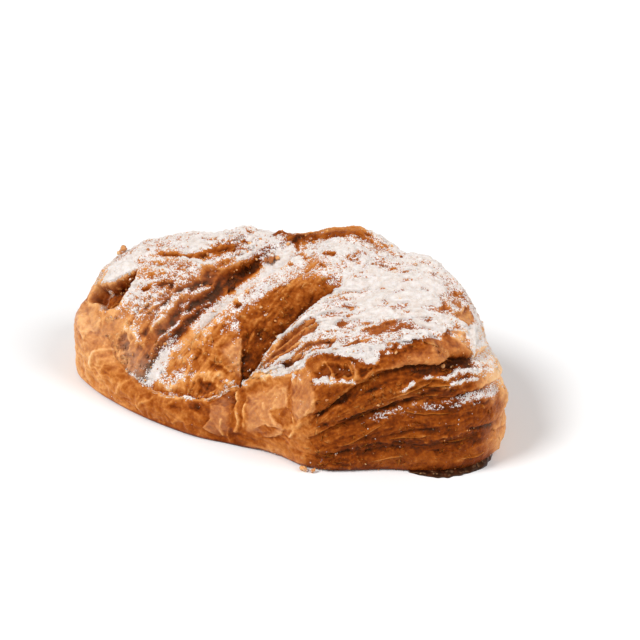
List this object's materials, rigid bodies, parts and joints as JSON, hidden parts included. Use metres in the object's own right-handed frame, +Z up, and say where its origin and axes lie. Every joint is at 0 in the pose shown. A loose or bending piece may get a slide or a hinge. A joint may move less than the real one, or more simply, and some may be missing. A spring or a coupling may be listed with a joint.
{
  "type": "custard danish",
  "caption": "Folded puff pastry danish with slashed ridged top, fanned layers at one end and a dusting of icing sugar; ready to eat.",
  "frame": {"origin": "on the table, under the middle of the pastry's bounding box", "axes": "+X along the length towards the layered cut end, +Y towards the high back side, -Y towards the low folded edge, +Z up"},
  "size_m": [0.1424, 0.0742, 0.0485],
  "materials": {
    "crust": "baked flaky puff pastry, golden to amber brown, satin where buttery",
    "flakes": "thin translucent pastry skins, pale amber",
    "sugar": "matt white icing sugar",
    "caramel": "glossy dark burnt sugar"
  },
  "bodies": {
    "root": {"pastry": "crust"}
  },
  "joints": []
}
